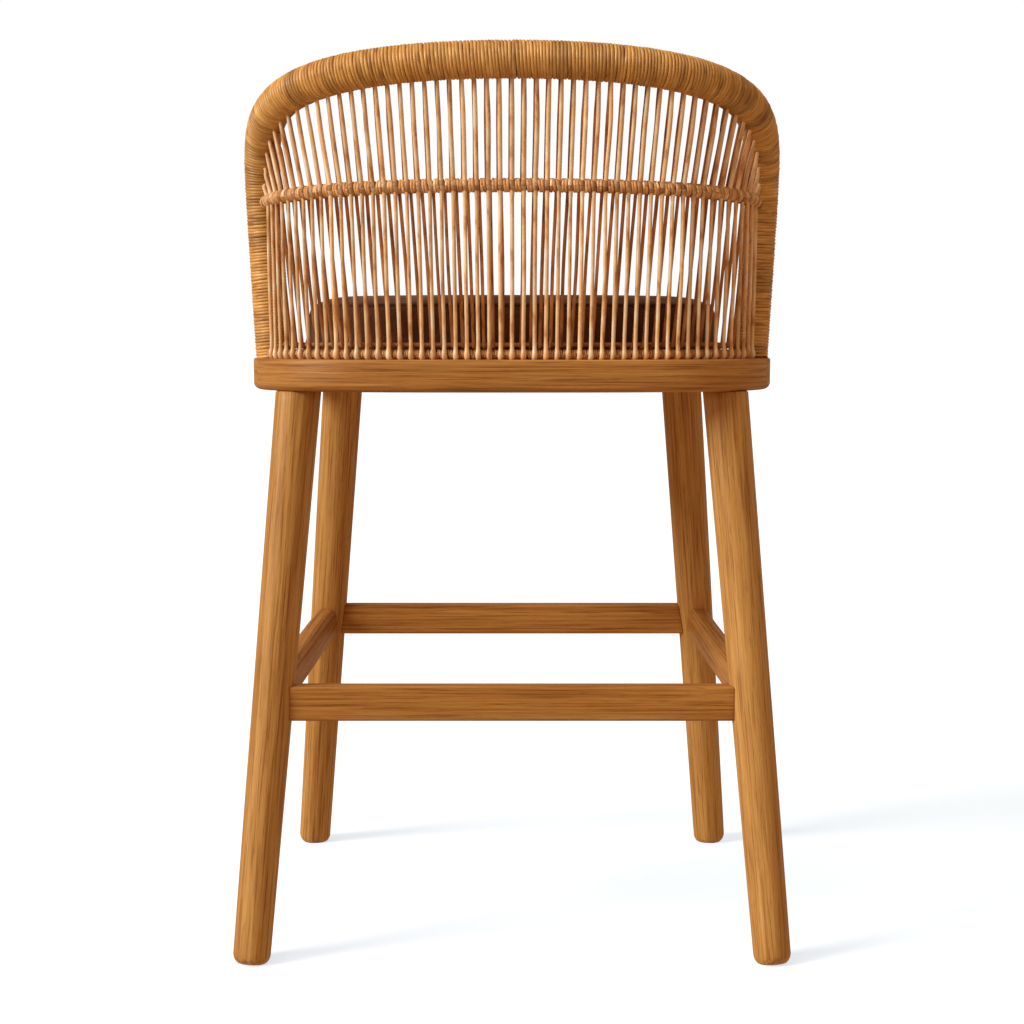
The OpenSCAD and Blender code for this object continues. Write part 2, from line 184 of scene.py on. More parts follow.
RUN_ANGLES = np.radians(np.linspace(0, 90, 361))
RUNS = running_lengths(np.column_stack(outline(HOOP_HALF_W, HOOP_DEPTH, RUN_ANGLES)))
HOOP_RUN = float(np.interp(math.radians(END_ANGLE), RUN_ANGLES, RUNS))


def back_points(s, z, push=0.0):
    """Points of the back's curved surface at signed running lengths s and heights z."""
    s, z = np.broadcast_arrays(np.asarray(s, float), np.asarray(z, float))
    t = np.sign(s) * np.interp(np.abs(s), RUNS, RUN_ANGLES)
    a = HOOP_HALF_W + FLARE * (z - FRAME_TOP) + push
    b = HOOP_DEPTH + RECLINE * (z - FRAME_TOP) + push
    x, y = outline(a, b, t)
    return np.stack([x, y, z], -1)


def hoop_half(n=160):
    """One side of the hoop's centre line, from its top to its foot on the left."""
    turn = 0.5
    u = np.linspace(0, turn ** (1 / RUN_POWER), n)
    top = np.column_stack([u, (1 - u ** RUN_POWER) ** (1 / RISE_POWER)])
    v = np.linspace((1 - turn) ** (1 / RISE_POWER), 0, n)[1:]
    side = np.column_stack([(1 - v ** RISE_POWER) ** (1 / RUN_POWER), v])
    shape = np.vstack([top, side])
    return back_points(shape[:, 0] * HOOP_RUN, FRAME_TOP + shape[:, 1] * (HOOP_TOP - FRAME_TOP))


HOOP_LEFT = hoop_half()
HOOP_LENGTHS = running_lengths(HOOP_LEFT)
HOOP_LEN = HOOP_LENGTHS[-1]


def hoop_points(s):
    """Points of the hoop's centre line at signed lengths s from its top."""
    s = np.atleast_1d(np.asarray(s, float))
    p = np.stack([np.interp(np.abs(s), HOOP_LENGTHS, HOOP_LEFT[:, i]) for i in range(3)], -1)
    p[:, 0] *= np.sign(s)
    return p


def middle_points(s, push=0.0):
    """Points of the middle rail at signed running lengths s."""
    s = np.asarray(s, float)
    return back_points(s, MIDDLE_Z - MIDDLE_DROP * (s / HOOP_RUN) ** 2, push)


def top_run(k):
    """Length along the hoop from its top to strand k."""
    return k * (PITCH_TOP + TOP_SPREAD * (k / SIDE_STRANDS) ** 4)


def outward(p):
    """Level direction away from the middle of the seat."""
    q = np.array(p, float)
    q[..., 2] = 0
    return unit_rows(q)


def smooth_path(points, per_span=6):
    """Catmull-Rom curve through points."""
    p = np.asarray(points, float)
    p = np.vstack([2 * p[0] - p[1], p, 2 * p[-1] - p[-2]])
    t = np.linspace(0, 1, per_span, endpoint=False)[:, None]
    spans = []
    for i in range(1, len(p) - 2):
        a, b, c, d = p[i - 1], p[i], p[i + 1], p[i + 2]
        spans.append(0.5 * (2 * b + (c - a) * t + (2 * a - 5 * b + 4 * c - d) * t ** 2
                            + (3 * b - a - 3 * c + d) * t ** 3))
    return np.vstack(spans + [p[-2][None]])


def unit_rows(vectors):
    """One vector, or each of several rows, at length one."""
    return vectors / np.linalg.norm(vectors, axis=-1, keepdims=True)


def cross_directions(t, side):
    """Two directions square to the unit tangents t, the first one close to side."""
    n = unit_rows(side - (side * t).sum(-1, keepdims=True) * t)
    return n, np.cross(t, n)


# ------------------------------------------------------------ mesh builder

class Builder:
    """Collects swept surfaces into one mesh, with coordinates for the grain.

    Each vertex keeps a "grain" vector, its place in a straight piece of wood or
    cane with the length along Z, and a "tone" that shifts the piece's colour."""

    def __init__(self):
        self.co, self.grain, self.tone, self.faces = [], [], [], []
        self.count = 0

    def grid(self, co, grain, tone):
        """Rings of points, rows x columns x 3, joined and capped at both ends."""
        rows, cols = co.shape[:2]
        base = self.count
        self.co.append(co.reshape(-1, 3))
        self.grain.append(grain.reshape(-1, 3))
        self.tone.append(np.broadcast_to(np.asarray(tone, float), (rows, cols)).reshape(-1))
        self.count += rows * cols
        for i in range(rows - 1):
            self.band(base + i * cols, base + (i + 1) * cols, cols)
        first_tone, last_tone = self.tone[-1][0], self.tone[-1][-1]
        self.cap(co[0], grain[0], first_tone, base, True)
        self.cap(co[-1], grain[-1], last_tone, base + (rows - 1) * cols, False)

    def band(self, low, high, cols):
        """Faces between two rings whose first vertices are low and high."""
        for j in range(cols):
            after = (j + 1) % cols
            self.faces.append((low + j, low + after, high + after, high + j))

    def cap(self, ring, grain, tone, first, flip):
        """Closes a ring with a fan round its middle."""
        n = len(ring)
        self.co.append(ring.mean(0)[None])
        self.grain.append(grain.mean(0)[None])
        self.tone.append(np.array([tone]))
        middle = self.count
        self.count += 1
        for j in range(n):
            a, b = first + j, first + (j + 1) % n
            self.faces.append((b, a, middle) if flip else (a, b, middle))

    def loop(self, co, grain, tone):
        """A surface that closes both ways, such as a ring of cane."""
        rows, cols = co.shape[:2]
        base = self.count
        self.co.append(co.reshape(-1, 3))
        self.grain.append(grain.reshape(-1, 3))
        self.tone.append(np.full(rows * cols, tone))
        self.count += rows * cols
        for i in range(rows):
            self.band(base + i * cols, base + ((i + 1) % rows) * cols, cols)

    def object(self, name, material):
        """The collected surfaces as one object in the scene."""
        mesh = bpy.data.meshes.new(name)
        mesh.from_pydata(np.vstack(self.co).tolist(), [], self.faces)
        grain = mesh.attributes.new("grain", "FLOAT_VECTOR", "POINT")
        grain.data.foreach_set("vector", np.vstack(self.grain).astype(np.float32).ravel())
        tone = mesh.attributes.new("tone", "FLOAT", "POINT")
        tone.data.foreach_set("value", np.concatenate(self.tone).astype(np.float32))
        mesh.polygons.foreach_set("use_smooth", [True] * len(mesh.polygons))
        mesh.update()
        obj = bpy.data.objects.new(name, mesh)
        bpy.context.scene.collection.objects.link(obj)
        mesh.materials.append(material)
        return obj


def add_strand(build, path, radius, tone, sides=8):
    """A round cane along a path; radius may change along it."""
    n, b = cross_directions(unit_rows(np.gradient(path, axis=0)), outward(path))
    r = np.broadcast_to(np.asarray(radius, float), (len(path),))[:, None, None]
    a = np.linspace(0, 2 * math.pi, sides, endpoint=False)
    c, s = np.cos(a)[None, :, None], np.sin(a)[None, :, None]
    co = path[:, None] + r * (c * n[:, None] + s * b[:, None])
    along = running_lengths(path)[:, None] + rng.uniform(0, 3)
    grain = np.stack([np.broadcast_to(r[..., 0] * c[..., 0], co.shape[:2]),
                      np.broadcast_to(r[..., 0] * s[..., 0], co.shape[:2]),
                      np.broadcast_to(along, co.shape[:2])], -1)
    build.grid(co, grain, tone)


def add_ring(build, place, radius, half_w, half_t, tilt, phase, tone, steps):
    """A ring of cane wound round a rail; tilt slides it along the rail on one side."""
    centre, t, n, b = place
    a = np.linspace(0, 2 * math.pi, steps, endpoint=False)
    radial = np.cos(a)[:, None] * n + np.sin(a)[:, None] * b
    slide = tilt * np.sin(a + phase)
    q = np.linspace(0, 2 * math.pi, 8, endpoint=False)
    co = (centre + radius * radial[:, None] + slide[:, None, None] * t
          + half_t * np.sin(q)[None, :, None] * radial[:, None]
          + half_w * np.cos(q)[None, :, None] * t)
    along = (a * radius)[:, None] + rng.uniform(0, 3)
    grain = np.stack([np.broadcast_to(half_w * np.cos(q), co.shape[:2]),
                      np.broadcast_to(half_t * np.sin(q), co.shape[:2]),
                      np.broadcast_to(along, co.shape[:2])], -1)
    build.loop(co, grain, tone)


# --------------------------------------------------------------- materials

def new_material(name):
    """A material with its node tree emptied down to one shader."""
    m = bpy.data.materials.new(name)
    m.use_nodes = True
    tree = m.node_tree
    tree.nodes.clear()
    out = tree.nodes.new("ShaderNodeOutputMaterial")
    shader = tree.nodes.new("ShaderNodeBsdfPrincipled")
    tree.links.new(shader.outputs["BSDF"], out.inputs["Surface"])
    return m, tree, shader


class Graph:
    """Short names for the nodes that the materials use."""

    def __init__(self, tree):
        self.tree = tree

    def put(self, kind, **values):
        node = self.tree.nodes.new(kind)
        for key, value in values.items():
            setattr(node, key, value)
        return node

    def link(self, a, b):
        self.tree.links.new(a, b)

    def attribute(self, name, output):
        return self.put("ShaderNodeAttribute", attribute_name=name).outputs[output]

    def stretch(self, vector, scale):
        node = self.put("ShaderNodeMapping")
        self.link(vector, node.inputs["Vector"])
        node.inputs["Scale"].default_value = scale
        return node.outputs["Vector"]

    def noise(self, vector, scale, detail=4.0, rough=0.55, distort=0.0):
        node = self.put("ShaderNodeTexNoise")
        self.link(vector, node.inputs["Vector"])
        node.inputs["Scale"].default_value = scale
        node.inputs["Detail"].default_value = detail
        node.inputs["Roughness"].default_value = rough
        node.inputs["Distortion"].default_value = distort
        return node.outputs["Fac"]

    def ramp(self, value, stops, smooth=False):
        node = self.put("ShaderNodeValToRGB")
        self.link(value, node.inputs["Fac"])
        elements = node.color_ramp.elements
        while len(elements) < len(stops):
            elements.new(0.5)
        for element, (place, colour) in zip(elements, stops):
            element.position = place
            element.color = (*colour, 1)
        if smooth:
            node.color_ramp.interpolation = "EASE"
        return node.outputs["Color"]

    def math(self, op, a, b):
        node = self.put("ShaderNodeMath", operation=op)
        for socket, value in zip(node.inputs, (a, b)):
            if isinstance(value, (int, float)):
                socket.default_value = value
            else:
                self.link(value, socket)
        return node.outputs["Value"]

    def mix(self, factor, a, b, blend="MIX"):
        node = self.put("ShaderNodeMix", data_type="RGBA", blend_type=blend)
        for socket, value in ((node.inputs[0], factor), (node.inputs[6], a), (node.inputs[7], b)):
            if isinstance(value, (int, float)):
                socket.default_value = value
            elif isinstance(value, tuple):
                socket.default_value = (*value, 1)
            else:
                self.link(value, socket)
        return node.outputs[2]

    def bump(self, height, strength, distance, normal=None):
        node = self.put("ShaderNodeBump")
        self.link(height, node.inputs["Height"])
        node.inputs["Strength"].default_value = strength
        node.inputs["Distance"].default_value = distance
        if normal is not None:
            self.link(normal, node.inputs["Normal"])
        return node.outputs["Normal"]


def srgb(r, g, b):
    """Linear colour of an 8-bit screen colour."""
    return tuple(((c / 255 + 0.055) / 1.055) ** 2.4 for c in (r, g, b))


def wood_material(name, light, middle, dark):
    """Oiled oak: wavy growth bands, fine fibre, dark open pores along the length."""
    m, tree, shader = new_material(name)
    g = Graph(tree)
    place = g.attribute("grain", "Vector")
    long = g.stretch(place, (1, 1, 0.02))
    bands = g.noise(g.stretch(place, (1, 1, 0.05)), 55, 3, 0.5, 0.6)
    fibre = g.noise(long, 900, 5, 0.7)
    streak = g.noise(long, 260, 4, 0.65, 0.4)
    lines = g.noise(long, 520, 3, 0.6, 0.2)
    pores = g.noise(g.stretch(place, (1, 1, 0.035)), 1500, 2, 0.5)
    tone = g.ramp(bands, [(0.30, dark), (0.47, middle), (0.62, light)], smooth=True)
    streaks = g.ramp(streak, [(0.36, dark), (0.5, middle), (0.66, light)])
    tone = g.mix(0.55, tone, streaks)
    fine = g.ramp(fibre, [(0.3, (0.62, 0.58, 0.52)), (0.62, (1.12, 1.1, 1.08))])
    tone = g.mix(0.55, tone, fine, "MULTIPLY")
    drawn = g.ramp(lines, [(0.36, (0.60, 0.47, 0.34)), (0.47, (1, 1, 1)), (0.7, (1.1, 1.1, 1.08))])
    tone = g.mix(0.75, tone, drawn, "MULTIPLY")
    pits = g.ramp(pores, [(0.30, (0.38, 0.30, 0.22)), (0.40, (1, 1, 1))])
    tone = g.mix(0.5, tone, pits, "MULTIPLY")
    g.link(tone, shader.inputs["Base Color"])
    rough = g.ramp(streak, [(0.3, (0.50, 0.50, 0.50)), (0.7, (0.38, 0.38, 0.38))])
    g.link(rough, shader.inputs["Roughness"])
    height = g.math("ADD", g.math("MULTIPLY", fibre, 0.5), g.math("MULTIPLY", pores, 0.5))
    height = g.math("ADD", height, lines)
    g.link(g.bump(height, 0.4, 0.0006), shader.inputs["Normal"])
    shader.inputs["Specular IOR Level"].default_value = 0.25
    shader.inputs["IOR"].default_value = 1.5
    return m


def rattan_material(name, light, middle, dark, rough, shine):
    """Cane skin: fine lengthwise fibres, blotches, and a tone for each strand."""
    m, tree, shader = new_material(name)
    g = Graph(tree)
    place = g.attribute("grain", "Vector")
    tone_value = g.attribute("tone", "Fac")
    fibre = g.noise(g.stretch(place, (1, 1, 0.03)), 2200, 3, 0.6)
    blotch = g.noise(g.stretch(place, (1, 1, 0.35)), 90, 3, 0.6, 0.3)
    colour = g.ramp(blotch, [(0.30, dark), (0.48, middle), (0.66, light)], smooth=True)
    shifted = g.ramp(tone_value, [(0.0, (0.52, 0.45, 0.38)), (0.5, (1.0, 1.0, 1.0)),
                                  (1.0, (1.28, 1.26, 1.22))])
    colour = g.mix(0.85, colour, shifted, "MULTIPLY")
    lines = g.ramp(fibre, [(0.30, (0.62, 0.54, 0.46)), (0.55, (1.06, 1.05, 1.04))])
    colour = g.mix(0.5, colour, lines, "MULTIPLY")
    g.link(colour, shader.inputs["Base Color"])
    g.link(g.ramp(blotch, [(0.3, (rough + 0.1,) * 3), (0.7, (rough - 0.04,) * 3)]),
           shader.inputs["Roughness"])
    g.link(g.bump(fibre, 0.3, 0.0004), shader.inputs["Normal"])
    shader.inputs["Specular IOR Level"].default_value = shine
    shader.inputs["IOR"].default_value = 1.48
    return m


def cloth_material(name, light, dark):
    """Woven upholstery: threads that cross, slubs, and a soft worn tone."""
    m, tree, shader = new_material(name)
    g = Graph(tree)
    place = g.put("ShaderNodeTexCoord").outputs["Object"]
    threads = 0.0
    for direction in ("X", "Y", "Z"):
        wave = g.put("ShaderNodeTexWave", wave_type="BANDS", bands_direction=direction)
        g.link(place, wave.inputs["Vector"])
        wave.inputs["Scale"].default_value = 190
        wave.inputs["Distortion"].default_value = 1.2
        wave.inputs["Detail"].default_value = 1.5
        wave.inputs["Detail Scale"].default_value = 1.2
        threads = g.math("ADD", threads, wave.outputs["Fac"])
    weave = g.math("MULTIPLY", threads, 1 / 3)
    wear = g.noise(place, 11, 5, 0.6)
    slubs = g.noise(place, 240, 3, 0.6)
    colour = g.ramp(wear, [(0.32, dark), (0.68, light)], smooth=True)
    crossed = g.ramp(weave, [(0.25, (0.5, 0.46, 0.42)), (0.7, (1.15, 1.12, 1.1))])
    colour = g.mix(0.6, colour, crossed, "MULTIPLY")
    uneven = g.ramp(slubs, [(0.35, (0.65, 0.6, 0.55)), (0.6, (1.1, 1.1, 1.1))])
    colour = g.mix(0.35, colour, uneven, "MULTIPLY")
    g.link(colour, shader.inputs["Base Color"])
    first = g.bump(slubs, 0.25, 0.0006)
    g.link(g.bump(weave, 0.5, 0.0005, first), shader.inputs["Normal"])
    shader.inputs["Roughness"].default_value = 0.85
    shader.inputs["Sheen Weight"].default_value = 0.25
    shader.inputs["Sheen Roughness"].default_value = 0.5
    return m


def steel_material(name):
    """Zinc-plated screw steel with fine turning marks."""
    m, tree, shader = new_material(name)
    g = Graph(tree)
    place = g.put("ShaderNodeTexCoord").outputs["Object"]
    marks = g.noise(g.stretch(place, (1, 1, 0.1)), 900, 3, 0.6)
    g.link(g.ramp(marks, [(0.3, (0.42, 0.42, 0.43)), (0.7, (0.66, 0.66, 0.65))]),
           shader.inputs["Base Color"])
    g.link(g.ramp(marks, [(0.3, (0.42,) * 3), (0.7, (0.28,) * 3)]), shader.inputs["Roughness"])
    shader.inputs["Metallic"].default_value = 1.0
    return m


def plywood_material(name):
    """Sanded birch: pale, with soft broad figure and short flecks."""
    m, tree, shader = new_material(name)
    g = Graph(tree)
    place = g.put("ShaderNodeTexCoord").outputs["Object"]
    figure = g.noise(g.stretch(place, (0.12, 1, 1)), 24, 4, 0.55, 1.2)
    flecks = g.noise(g.stretch(place, (0.06, 1, 1)), 700, 3, 0.6)
    colour = g.ramp(figure, [(0.3, srgb(196, 160, 112)), (0.7, srgb(226, 196, 150))], smooth=True)
    specks = g.ramp(flecks, [(0.3, (0.7, 0.62, 0.52)), (0.55, (1.05, 1.05, 1.05))])
    colour = g.mix(0.4, colour, specks, "MULTIPLY")
    g.link(colour, shader.inputs["Base Color"])
    shader.inputs["Roughness"].default_value = 0.62
    g.link(g.bump(flecks, 0.25, 0.0004), shader.inputs["Normal"])
    return m


def floor_material():
    """Matt floor with a faint glow, so that it stays as pale as the backdrop."""
    m, tree, shader = new_material("studio_floor")
    shader.inputs["Base Color"].default_value = (0.86, 0.86, 0.86, 1)
    shader.inputs["Roughness"].default_value = 0.9
    shader.inputs["Emission Color"].default_value = (0.48, 0.62, 0.72, 1)
    shader.inputs["Emission Strength"].default_value = 1.0
    return m


OAK_LEGS = wood_material("oak_legs", srgb(222, 170, 98), srgb(203, 149, 80), srgb(172, 116, 54))
OAK_BARS = wood_material("oak_bars", srgb(206, 148, 76), srgb(187, 127, 60), srgb(152, 94, 38))
OAK_FRAME = wood_material("oak_frame", srgb(212, 156, 86), srgb(192, 133, 66), srgb(154, 98, 42))
RATTAN_HOOP = rattan_material("rattan_hoop", srgb(238, 190, 114), srgb(212, 160, 86),
                              srgb(166, 112, 50), 0.36, 0.5)
RATTAN_RAIL = rattan_material("rattan_rail", srgb(255, 226, 182), srgb(214, 158, 98),
                              srgb(160, 102, 50), 0.36, 0.5)
# Lit and shaded copies of one rattan: the outer strands' paler colour is painted light, and the
# darker copy, used on the inner strands, the inner rod and the canes under the windings, is painted
# shade.
RATTAN_PAINTED_LIT = rattan_material("rattan_painted_lit", srgb(254, 232, 194), srgb(242, 197, 142),
                               srgb(196, 136, 80), 0.32, 0.6)
RATTAN_PAINTED_SHADE = rattan_material("rattan_painted_shade", srgb(230, 172, 116), srgb(200, 140, 88),
                               srgb(150, 94, 48), 0.42, 0.35)
BROWN_CLOTH = cloth_material("brown_cloth", srgb(118, 68, 34), srgb(84, 44, 20))
PIPING = cloth_material("brown_piping", srgb(100, 56, 28), srgb(70, 36, 16))
STEEL = steel_material("screw_steel")
BIRCH = plywood_material("birch")


def settle(piece, slot, *nodes):
    """A finished piece rides on the stool and stands for its CAD nodes, which it hides; slot is not
    used.
    """
    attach(piece, "root")
    if nodes:
        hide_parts(*nodes)


# --------------------------------------------------------------------- legs

def leg_axis(sx, sy, z):
    """Point of a leg's axis at height z."""
    f = np.array([sx * FOOT[sy][0], FOOT[sy][1], 0.0])
    t = np.array([sx * LEG_TOP[sy][0], LEG_TOP[sy][1], FRAME_BASE])
    return f + (t - f) * (z / FRAME_BASE)


def leg_radius(z):
    """Radius of the turned leg at height z, before the foot's rounding."""
    return FOOT_R + (LEG_TOP_R - FOOT_R) * z / FRAME_BASE


def leg_profile():
    """Heights up a leg, and how far its radius changes at each of them."""
    arc = np.linspace(math.acos(1 - FOOT_SINK / FOOT_ROUND), math.pi / 2, FOOT_ROWS)
    rise = FOOT_ROUND * (1 - np.cos(arc)) - FOOT_SINK
    straight = np.linspace(rise[-1] + 0.004, FRAME_BASE - 0.0012, LEG_ROWS)
    heights = np.concatenate([rise, straight, [FRAME_BASE - LEG_TOP_GAP]])
    change = np.concatenate([FOOT_ROUND * (np.sin(arc) - 1), np.zeros(LEG_ROWS), [-LEG_TOP_RELIEF]])
    return heights, change


def make_leg(sx, sy):
    """Tapered leg, flat on the floor, with a rounded foot and a top under the frame."""
    build = Builder()
    a = np.linspace(0, 2 * math.pi, LEG_SIDES, endpoint=False)
    level = np.stack([np.cos(a), np.sin(a), 0 * a], -1)
    axis = unit_rows(leg_axis(sx, sy, FRAME_BASE) - leg_axis(sx, sy, 0))
    lean = (level @ axis)[:, None]
    offset = (rng.uniform(0.03, 0.06) + sx * 0.3, rng.uniform(-0.02, 0.02))
    rows, grains = [], []
    for z, change in zip(*leg_profile()):
        r = leg_radius(z) + change
        # a round leg cut level is an ellipse, longer along its lean
        ring = leg_axis(sx, sy, z) + level * (r / np.sqrt(1 - lean ** 2))
        # near the foot the rings stand square to the axis, and the floor cuts them
        square = max(0.0, 1 - z / FOOT_BLEND)
        ring = ring - square * r * lean * axis / axis[2]
        ring[:, 2] = np.maximum(ring[:, 2], 0)
        rows.append(ring)
        grains.append(np.stack([r * np.cos(a) + offset[0], r * np.sin(a) + offset[1],
                                np.full(len(a), z + sy * 1.7)], -1))
    build.grid(np.array(rows), np.array(grains), 0.5)
    side = "left" if sx > 0 else "right"
    end = "rear" if sy > 0 else "front"
    node = f"leg_{end}_{side}"
    settle(build.object(f"turned_{node}", OAK_LEGS), "oak_legs", node)


# --------------------------------------------------------------- stretchers

def rounded_section(t, h, r, per_corner=6):
    """Closed outline of a bar's section, t thick and h high, as pairs."""
    points = []
    for cx, cy, start in ((1, 1, 0), (-1, 1, 90), (-1, -1, 180), (1, -1, 270)):
        for k in range(per_corner):
            a = math.radians(start + 90 * k / (per_corner - 1))
            points.append((cx * (t / 2 - r) + r * math.cos(a), cy * (h / 2 - r) + r * math.sin(a)))
    return np.array(points)


def reach_leg(points, heading, far, sx, sy):
    """Distance from each point, along heading, to a leg that is less than far away."""
    foot, top = leg_axis(sx, sy, 0), leg_axis(sx, sy, FRAME_BASE)
    axis = unit_rows(top - foot)
    low, high = np.zeros(len(points)), np.full(len(points), far)
    for _ in range(26):
        middle = (low + high) / 2
        p = points + middle[:, None] * heading
        q = p - foot
        away = np.linalg.norm(q - (q @ axis)[:, None] * axis, axis=1)
        inside = away < np.array([leg_radius(z) for z in p[:, 2]])
        high = np.where(inside, middle, high)
        low = np.where(inside, low, middle)
    return high


def make_stretcher(name, p, q, t, r, legs):
    """Bar from p to q, coped to the two legs, with a fine relief line at each end."""
    build = Builder()
    length = np.linalg.norm(q - p)
    x = (q - p) / length
    y = unit_rows(np.cross(UP, x))
    z = np.cross(x, y)
    section = rounded_section(t, STRETCHER_H, r)
    middle = (p + q) / 2
    flat = section[:, :1] * y + section[:, 1:] * z
    inner = flat * (1 - STRETCHER_RELIEF / np.linalg.norm(flat, axis=1, keepdims=True))
    eased = flat * 0.988
    end_a = reach_leg(middle + flat, -x, length / 2, *legs[0])
    end_b = reach_leg(middle + flat, x, length / 2, *legs[1])
    # each end goes into the leg, steps out at the relief line and rises to the full section
    backs = [-0.003, 0.0009, 0.0011, 0.0016]
    shapes = [inner, inner, eased, flat]
    rows = [middle + shape - (end_a - back)[:, None] * x for back, shape in zip(backs, shapes)]
    for share in np.linspace(-0.97, 0.97, STRETCHER_ROWS):
        reach = end_b if share > 0 else end_a
        rows.append(middle + flat + (share * reach)[:, None] * x)
    rows += [middle + shape + (end_b - back)[:, None] * x
             for back, shape in zip(backs[::-1], shapes[::-1])]
    rows = np.array(rows)
    local = rows - middle
    offset = rng.uniform(0.02, 0.05)
    grain = np.stack([local @ y + offset, local @ z + rng.uniform(-0.03, 0.03),
                      local @ x + rng.uniform(2, 6)], -1)
    build.grid(rows, grain, 0.5)
    settle(build.object(f"bar_{name}", OAK_BARS), "oak_stretchers", name)


def make_stretchers():
    for name, sy, z in (("stretcher_rear", 1, REAR_STRETCHER_Z), ("footrest_front", -1, FOOTREST_Z)):
        make_stretcher(name, leg_axis(-1, sy, z), leg_axis(1, sy, z), STRETCHER_T,
                       STRETCHER_ROUND, ((-1, sy), (1, sy)))
    for name, sx in (("stretcher_left", 1), ("stretcher_right", -1)):
        make_stretcher(name, leg_axis(sx, -1, SIDE_FRONT_Z), leg_axis(sx, 1, SIDE_REAR_Z),
                       SIDE_STRETCHER_T, SIDE_STRETCHER_ROUND, ((sx, -1), (sx, 1)))


# --------------------------------------------------------------- seat frame

def frame_section():
    """Section of the seat frame as [inset, height], clockwise from the lower inside."""
    low = [(FRAME_ROUND * (1 - math.sin(a)), FRAME_BASE + FRAME_ROUND * (1 - math.cos(a)))
           for a in np.linspace(0, math.pi / 2, 9)]
    high = [(TOP_EDGE * (1 - math.cos(a)), FRAME_TOP - TOP_EDGE * (1 - math.sin(a)))
            for a in np.linspace(0, math.pi / 2, 5)]
    inner = [(FRAME_W - 0.001, FRAME_TOP), (FRAME_W, FRAME_TOP - 0.001),
             (FRAME_W, FRAME_BASE + 0.001), (FRAME_W - 0.001, FRAME_BASE)]
    across = [((FRAME_W - FRAME_ROUND) * 0.5 + FRAME_ROUND, FRAME_BASE)]
    return np.array(across + low + high + inner)


def make_seat_rail(name, t0, t1):
    """One length of the seat frame, grain round the seat, with a hairline at its ends."""
    build = Builder()
    first, last = t0 + JOINT_HAIR, t1 - JOINT_HAIR
    angles = np.radians(np.concatenate([[first, first + 0.12], np.linspace(t0 + 0.6, t1 - 0.6, 90),
                                        [last - 0.12, last]]))
    section = frame_section()
    rows, grains = [], []
    spine = np.column_stack(outline(FRAME_HALF_W - FRAME_W / 2, FRAME_HALF_D - FRAME_W / 2, angles))
    along = running_lengths(spine)
    inwards = unit_rows(section.mean(0) - section)
    for i, t in enumerate(angles):
        tight = JOINT_RELIEF if i in (0, len(angles) - 1) else 0.0
        pull = section + tight * inwards
        x, y = outline(FRAME_HALF_W - pull[:, 0], FRAME_HALF_D - pull[:, 0], t)
        rows.append(np.stack([x, y, pull[:, 1]], -1))
        grains.append(np.stack([section[:, 0], section[:, 1] + 0.7 * math.sin(math.radians(t0)),
                                np.full(len(section), along[i] + 0.01 * t0)], -1))
    rows, grains = np.array(rows)[:, ::-1], np.array(grains)[:, ::-1]
    build.grid(rows, grains, 0.5)
    settle(build.object(f"shaped_{name}", OAK_FRAME), "oak_frame", name)


def make_seat_frame():
    make_seat_rail("seat_rail_rear", -JOINT_ANGLE, JOINT_ANGLE)
    make_seat_rail("seat_rail_left", JOINT_ANGLE, 180 - JOINT_ANGLE)
    make_seat_rail("seat_rail_front", 180 - JOINT_ANGLE, 180 + JOINT_ANGLE)
    make_seat_rail("seat_rail_right", 180 + JOINT_ANGLE, 360 - JOINT_ANGLE)


# -------------------------------------------------------------------- hoop

def make_hoop_winding():
    """One cane wound round and round the hoop, each run of turns with its own tone."""
    build = Builder()
    radius = HOOP_R - HOOP_CANE_T
    turns = int(2 * HOOP_LEN / HOOP_PITCH)
    steps = 36
    margin = 0.0015
    # every turn has a slightly different width and slant
    widths = np.array([rng.uniform(0.86, 1.14) for _ in range(turns + 1)])
    places = np.concatenate([[0], np.cumsum((widths[1:] + widths[:-1]) / 2)])
    places = -HOOP_LEN + margin + places / places[-1] * 2 * (HOOP_LEN - margin)
    slants = np.array([rng.gauss(0.0003, 0.0004) for _ in range(turns + 1)])
    lifts = np.array([rng.uniform(-0.0004, 0.0) for _ in range(turns + 1)])
    tones = [0.5]
    for _ in range(turns):
        if rng.random() < 0.35:
            tones.append(rng.uniform(0.15, 0.9))
        else:
            tones.append(min(0.85, max(0.2, tones[-1] + rng.uniform(-0.1, 0.1))))
    turn = np.linspace(0, turns, turns * steps + 1)
    index = np.arange(turns + 1)
    a = 2 * math.pi * turn
    place = np.interp(turn, index, places) + np.interp(turn, index, slants) * np.sin(a)
    centre = hoop_points(place)
    ahead = hoop_points(np.clip(place + 0.001, -HOOP_LEN, HOOP_LEN))
    behind = hoop_points(np.clip(place - 0.001, -HOOP_LEN, HOOP_LEN))
    t = unit_rows(ahead - behind)
    n, b = cross_directions(t, outward(centre))
    radial = np.cos(a)[:, None] * n + np.sin(a)[:, None] * b
    r = radius + np.interp(turn, index, lifts)
    w = HOOP_CANE_W * np.interp(turn, index, widths)
    q = np.linspace(0, 2 * math.pi, 8, endpoint=False)
    co = (centre[:, None] + (r[:, None] + HOOP_CANE_T * np.sin(q))[..., None] * radial[:, None]
          + (w[:, None] * np.cos(q))[..., None] * t[:, None])
    across = w[:, None] * np.cos(q)
    deep = np.broadcast_to(HOOP_CANE_T * np.sin(q), across.shape)
    along = np.broadcast_to((a * radius)[:, None], across.shape)
    build.grid(co, np.stack([across, deep, along], -1), np.interp(turn, index, tones)[:, None])
    settle(build.object("hoop_cane_winding", RATTAN_HOOP), "rattan_winding",
           "hoop_winding_left", "hoop_winding_top", "hoop_winding_right")


# ------------------------------------------------------------ rails and rod

def rail_frames(points_at, s):
    """Centre, tangent and cross directions of a rail at running length s."""
    p = points_at(np.array([s - 0.001, s, s + 0.001]))
    t = unit_rows(p[2] - p[0])
    return p[1], t, *cross_directions(t, outward(p[1]))


def bottom_points(s):
    """Points of the bottom rail at signed running lengths s."""
    return back_points(s, BOTTOM_Z, BOTTOM_PUSH)


